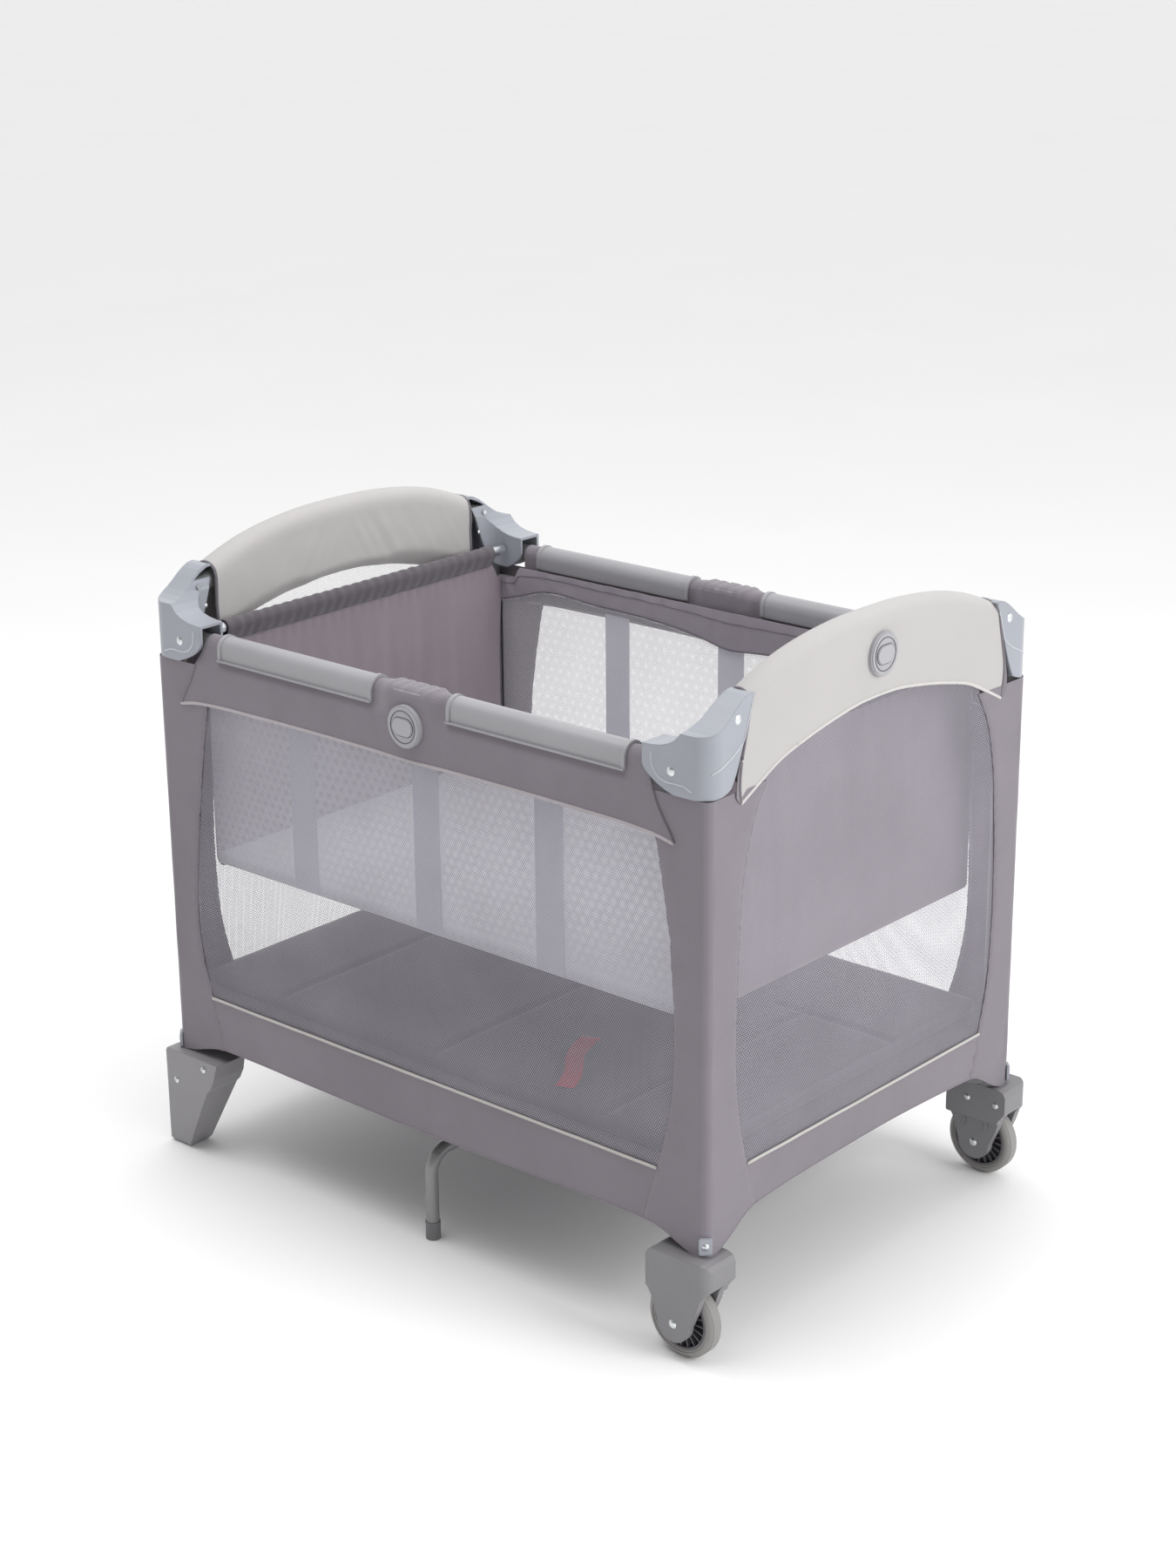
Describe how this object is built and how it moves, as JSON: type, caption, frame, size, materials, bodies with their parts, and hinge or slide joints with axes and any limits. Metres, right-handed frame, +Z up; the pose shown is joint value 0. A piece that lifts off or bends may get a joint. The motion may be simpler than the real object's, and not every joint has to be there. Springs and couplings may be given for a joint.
{
  "type": "folding travel play yard",
  "caption": "Folding travel play yard with mesh walls, arched padded ends, a lift-off bassinet, wheels at one end and feet at the other.",
  "frame": {"origin": "on the floor at the middle of the yard", "axes": "+X along the long side towards the wheels, +Y towards the back long side, +Z up"},
  "size_m": [1.02, 0.7272, 0.907],
  "materials": {
    "leg_tube": "grey hammered powder coat",
    "corner_cap": "satin moulded",
    "foot": "fine moulded grain",
    "fasteners": "zinc plated",
    "tyre": "smooth moulded rubber",
    "wheel_core": "moulded",
    "frame_tube": "grey hammered powder coat",
    "hub": "moulded",
    "strap": "woven webbing",
    "tip": "moulded",
    "latch": "satin moulded",
    "button": "satin moulded",
    "wall": "mesh and woven polyester",
    "cover": "woven polyester",
    "arch_cover": "padded woven polyester",
    "floor_pad": "woven polyester over board",
    "clips": "satin extruded",
    "bars": "plated",
    "tub": "mesh and woven polyester",
    "bassinet_pad": "quilted"
  },
  "bodies": {
    "leg_fl": {"leg_tube_fl": "leg_tube", "corner_cap_fl": "corner_cap", "foot_fl": "foot", "fasteners_fl": "fasteners", "side_front": "wall", "end_left": "wall"},
    "leg_bl": {"leg_tube_bl": "leg_tube", "corner_cap_bl": "corner_cap", "foot_bl": "foot", "fasteners_bl": "fasteners", "side_back": "wall"},
    "leg_fr": {"leg_tube_fr": "leg_tube", "corner_cap_fr": "corner_cap", "fork_fr": "foot", "fasteners_fr": "fasteners", "end_right": "wall"},
    "leg_br": {"leg_tube_br": "leg_tube", "corner_cap_br": "corner_cap", "fork_br": "foot", "fasteners_br": "fasteners"},
    "wheel_fr": {"tyre_fr": "tyre", "wheel_core_fr": "wheel_core"},
    "wheel_br": {"tyre_br": "tyre", "wheel_core_br": "wheel_core"},
    "strut_fl": {"strut_fl": "frame_tube"},
    "strut_bl": {"strut_bl": "frame_tube"},
    "strut_fr": {"strut_fr": "frame_tube"},
    "strut_br": {"strut_br": "frame_tube"},
    "hub": {"hub": "hub", "pull_strap": "strap"},
    "centre_leg_front": {"centre_leg_front": "frame_tube", "centre_tip_front": "tip"},
    "centre_leg_back": {"centre_leg_back": "frame_tube", "centre_tip_back": "tip"},
    "rail_front_l": {"rail_front_l": "frame_tube"},
    "rail_front_r": {"rail_front_r": "frame_tube"},
    "rail_back_l": {"rail_back_l": "frame_tube"},
    "rail_back_r": {"rail_back_r": "frame_tube"},
    "arch_left_f": {"arch_left_f": "frame_tube"},
    "arch_left_b": {"arch_left_b": "frame_tube"},
    "arch_right_f": {"arch_right_f": "frame_tube"},
    "arch_right_b": {"arch_right_b": "frame_tube"},
    "latch_front": {"latch_front": "latch", "cover_front": "cover"},
    "latch_back": {"latch_back": "latch", "cover_back": "cover"},
    "latch_left": {"latch_left": "latch", "cover_left": "arch_cover"},
    "latch_right": {"latch_right": "latch", "cover_right": "arch_cover"},
    "button_front": {"button_front": "button"},
    "button_back": {"button_back": "button"},
    "button_left": {"button_left": "button"},
    "button_right": {"button_right": "button"},
    "floor_pad": {"floor_pad": "floor_pad"},
    "bassinet": {"bassinet_clips": "clips", "bassinet_bars": "bars", "bassinet_tub": "tub", "bassinet_pad": "bassinet_pad"}
  },
  "joints": [
    {"name": "fold", "type": "hinge", "parent": "leg_fl", "child": "strut_fl", "pos_m": [-0.444, -0.3, 0.16], "axis": [0.4921, -0.8705, 0], "range_deg": [0, 70], "deforming": ["side_front", "side_back", "end_left", "end_right", "cover_front", "cover_back", "cover_left", "cover_right", "pull_strap", "floor_pad", "bassinet_tub", "bassinet_pad"]},
    {"name": "strut_fl_hub", "type": "hinge", "parent": "strut_fl", "child": "hub", "pos_m": [-0.023, -0.062, 0.16], "axis": [0.4921, -0.8705, 0], "range_deg": [-70, 0]},
    {"name": "strut_bl_hub", "type": "hinge", "parent": "hub", "child": "strut_bl", "pos_m": [-0.023, 0.062, 0.16], "axis": [-0.4921, -0.8705, 0], "range_deg": [0, 70]},
    {"name": "strut_bl_leg", "type": "hinge", "parent": "strut_bl", "child": "leg_bl", "pos_m": [-0.444, 0.3, 0.16], "axis": [-0.4921, -0.8705, 0], "range_deg": [-70, 0]},
    {"name": "strut_fr_hub", "type": "hinge", "parent": "hub", "child": "strut_fr", "pos_m": [0.023, -0.062, 0.16], "axis": [0.4921, 0.8705, 0], "range_deg": [0, 70]},
    {"name": "strut_fr_leg", "type": "hinge", "parent": "strut_fr", "child": "leg_fr", "pos_m": [0.444, -0.3, 0.16], "axis": [0.4921, 0.8705, 0], "range_deg": [-70, 0]},
    {"name": "strut_br_hub", "type": "hinge", "parent": "hub", "child": "strut_br", "pos_m": [0.023, 0.062, 0.16], "axis": [-0.4921, 0.8705, 0], "range_deg": [0, 70]},
    {"name": "strut_br_leg", "type": "hinge", "parent": "strut_br", "child": "leg_br", "pos_m": [0.444, 0.3, 0.16], "axis": [-0.4921, 0.8705, 0], "range_deg": [-70, 0]},
    {"name": "rail_front_l_leg", "type": "hinge", "parent": "leg_fl", "child": "rail_front_l", "pos_m": [-0.437, -0.322, 0.773], "axis": [0, 1, 0], "range_deg": [0, 70]},
    {"name": "rail_front_l_latch", "type": "hinge", "parent": "rail_front_l", "child": "latch_front", "pos_m": [-0.016, -0.322, 0.773], "axis": [0, 1, 0], "range_deg": [-70, 0]},
    {"name": "rail_front_r_latch", "type": "hinge", "parent": "latch_front", "child": "rail_front_r", "pos_m": [0.016, -0.322, 0.773], "axis": [0, 1, 0], "range_deg": [-70, 0]},
    {"name": "rail_back_r_leg", "type": "hinge", "parent": "leg_br", "child": "rail_back_r", "pos_m": [0.437, 0.322, 0.773], "axis": [0, -1, 0], "range_deg": [0, 70]},
    {"name": "rail_back_r_latch", "type": "hinge", "parent": "rail_back_r", "child": "latch_back", "pos_m": [0.016, 0.322, 0.773], "axis": [0, -1, 0], "range_deg": [-70, 0]},
    {"name": "rail_back_l_latch", "type": "hinge", "parent": "latch_back", "child": "rail_back_l", "pos_m": [-0.016, 0.322, 0.773], "axis": [0, -1, 0], "range_deg": [-70, 0]},
    {"name": "arch_left_f_leg", "type": "hinge", "parent": "leg_fl", "child": "arch_left_f", "pos_m": [-0.474, -0.288, 0.835], "axis": [-1, 0, 0], "range_deg": [0, 70]},
    {"name": "arch_left_f_latch", "type": "hinge", "parent": "arch_left_f", "child": "latch_left", "pos_m": [-0.474, -0.05, 0.835], "axis": [-1, 0, 0], "range_deg": [-70, 0]},
    {"name": "arch_left_b_latch", "type": "hinge", "parent": "latch_left", "child": "arch_left_b", "pos_m": [-0.474, 0.05, 0.835], "axis": [-1, 0, 0], "range_deg": [-70, 0]},
    {"name": "arch_right_b_leg", "type": "hinge", "parent": "leg_br", "child": "arch_right_b", "pos_m": [0.474, 0.288, 0.835], "axis": [1, 0, 0], "range_deg": [0, 70]},
    {"name": "arch_right_b_latch", "type": "hinge", "parent": "arch_right_b", "child": "latch_right", "pos_m": [0.474, 0.05, 0.835], "axis": [1, 0, 0], "range_deg": [-70, 0]},
    {"name": "arch_right_f_latch", "type": "hinge", "parent": "latch_right", "child": "arch_right_f", "pos_m": [0.474, -0.05, 0.835], "axis": [1, 0, 0], "range_deg": [-70, 0]},
    {"name": "centre_leg_front_swing", "type": "hinge", "parent": "hub", "child": "centre_leg_front", "pos_m": [0, -0.036, 0.127], "axis": [1, 0, 0], "range_deg": [0, 70]},
    {"name": "centre_leg_back_swing", "type": "hinge", "parent": "hub", "child": "centre_leg_back", "pos_m": [0, 0.036, 0.127], "axis": [-1, 0, 0], "range_deg": [0, 70]},
    {"name": "floor_pad_lift", "type": "slide", "parent": "hub", "child": "floor_pad", "axis": [0, 0, 1], "range_m": [0, 0.22]},
    {"name": "bassinet_lift", "type": "slide", "parent": "hub", "child": "bassinet", "axis": [0, 0, 1], "range_m": [0, 0.44]},
    {"name": "wheel_fr_spin", "type": "hinge", "parent": "leg_fr", "child": "wheel_fr", "pos_m": [0.456, -0.335, 0.052], "axis": [0, 1, 0], "continuous": true},
    {"name": "wheel_br_spin", "type": "hinge", "parent": "leg_br", "child": "wheel_br", "pos_m": [0.456, 0.335, 0.052], "axis": [0, 1, 0], "continuous": true},
    {"name": "button_front_press", "type": "slide", "parent": "latch_front", "child": "button_front", "axis": [0, 1, 0], "range_m": [0, 0.003], "stiffness_N_per_m": 900, "springref_m": -0.001},
    {"name": "button_back_press", "type": "slide", "parent": "latch_back", "child": "button_back", "axis": [0, -1, 0], "range_m": [0, 0.003], "stiffness_N_per_m": 900, "springref_m": -0.001},
    {"name": "button_left_press", "type": "slide", "parent": "latch_left", "child": "button_left", "axis": [1, 0, 0], "range_m": [0, 0.003], "stiffness_N_per_m": 900, "springref_m": -0.001},
    {"name": "button_right_press", "type": "slide", "parent": "latch_right", "child": "button_right", "axis": [-1, 0, 0], "range_m": [0, 0.003], "stiffness_N_per_m": 900, "springref_m": -0.001}
  ],
  "couplings": [
    {"joint": "strut_fl_hub", "follows": "fold", "ratio": -1},
    {"joint": "strut_bl_hub", "follows": "fold", "ratio": 1},
    {"joint": "strut_bl_leg", "follows": "fold", "ratio": -1},
    {"joint": "strut_fr_hub", "follows": "fold", "ratio": 1},
    {"joint": "strut_fr_leg", "follows": "fold", "ratio": -1},
    {"joint": "strut_br_hub", "follows": "fold", "ratio": 1},
    {"joint": "strut_br_leg", "follows": "fold", "ratio": -1},
    {"joint": "rail_front_l_leg", "follows": "fold", "ratio": 1},
    {"joint": "rail_front_l_latch", "follows": "fold", "ratio": -1},
    {"joint": "rail_front_r_latch", "follows": "fold", "ratio": -1},
    {"joint": "rail_back_r_leg", "follows": "fold", "ratio": 1},
    {"joint": "rail_back_r_latch", "follows": "fold", "ratio": -1},
    {"joint": "rail_back_l_latch", "follows": "fold", "ratio": -1},
    {"joint": "arch_left_f_leg", "follows": "fold", "ratio": 1},
    {"joint": "arch_left_f_latch", "follows": "fold", "ratio": -1},
    {"joint": "arch_left_b_latch", "follows": "fold", "ratio": -1},
    {"joint": "arch_right_b_leg", "follows": "fold", "ratio": 1},
    {"joint": "arch_right_b_latch", "follows": "fold", "ratio": -1},
    {"joint": "arch_right_f_latch", "follows": "fold", "ratio": -1},
    {"joint": "centre_leg_front_swing", "follows": "fold", "ratio": 1},
    {"joint": "centre_leg_back_swing", "follows": "fold", "ratio": 1},
    {"joint": "floor_pad_lift", "follows": "fold", "m_per_rad": 0.17189},
    {"joint": "bassinet_lift", "follows": "fold", "m_per_rad": 0.35196}
  ]
}
